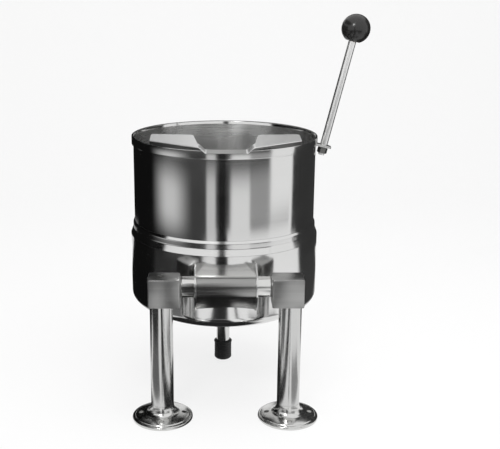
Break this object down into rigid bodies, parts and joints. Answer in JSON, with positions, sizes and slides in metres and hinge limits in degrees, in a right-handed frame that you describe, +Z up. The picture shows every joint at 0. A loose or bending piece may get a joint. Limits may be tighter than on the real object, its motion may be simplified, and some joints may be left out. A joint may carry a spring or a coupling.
{
  "type": "steam jacketed kettle",
  "caption": "Table-top steam jacketed kettle with a pouring lip, tipped forward by a side handle about a hollow trunnion shaft held between two bolted legs.",
  "frame": {"origin": "middle of the object's bounding box on the table plane; the kettle's own vertical axis is at x -0.0415, y 0.038", "axes": "+Z up, +X towards the handle's side, -Y towards the pouring side, where the kettle tips"},
  "size_m": [0.4209, 0.414, 0.6636],
  "materials": {
    "kettle_bowl": "satin stainless inside, polished outside",
    "rim_band": "polished stainless",
    "pouring_lip": "satin stainless sheet",
    "jacket_shell": "polished stainless",
    "jacket_top_ring": "polished stainless",
    "trunnion_saddle": "polished stainless sheet",
    "saddle_end": "polished stainless plate",
    "trunnion_shaft": "turned stainless bar",
    "inner_tube": "drawn stainless tube",
    "rest_post": "polished stainless tube",
    "rest_tip": "matt black moulded rubber",
    "handle_lug": "ground stainless plate",
    "handle_rod": "drawn stainless bar",
    "handle_fixing": "dull zinc plated steel",
    "ball_knob": "moulded black phenolic, glossy",
    "knob_insert": "turned brass",
    "housing": "brushed stainless block",
    "bush": "bearing bronze",
    "shaft_seal": "black seal rubber",
    "steam_packing": "graphite filled packing",
    "lube_plug": "dull plated steel",
    "leg_tube": "polished stainless tube",
    "foot_flange": "polished cast stainless"
  },
  "bodies": {
    "stand": {"left_housing": "housing", "right_housing": "housing", "left_bush": "bush", "right_bush": "bush", "left_shaft_seal": "shaft_seal", "right_shaft_seal": "shaft_seal", "left_steam_packing": "steam_packing", "right_steam_packing": "steam_packing", "lube_plug": "lube_plug", "left_leg_tube": "leg_tube", "right_leg_tube": "leg_tube", "left_foot_flange": "foot_flange", "right_foot_flange": "foot_flange"},
    "kettle": {"kettle_bowl": "kettle_bowl", "rim_band": "rim_band", "pouring_lip": "pouring_lip", "jacket_shell": "jacket_shell", "jacket_top_ring": "jacket_top_ring", "trunnion_saddle": "trunnion_saddle", "saddle_end_left": "saddle_end", "saddle_end_right": "saddle_end", "trunnion_shaft": "trunnion_shaft", "steam_nipple": "inner_tube", "condensate_tube": "inner_tube", "rest_post": "rest_post", "rest_tip": "rest_tip", "handle_lug": "handle_lug", "handle_rod": "handle_rod", "handle_washer": "handle_fixing", "handle_nut": "handle_fixing", "ball_knob": "ball_knob", "knob_insert": "knob_insert"}
  },
  "joints": [
    {"name": "kettle_tilt", "type": "hinge", "parent": "stand", "child": "kettle", "pos_m": [-0.0415, -0.156, 0.2341], "axis": [1, 0, 0], "range_deg": [0, 100]}
  ]
}
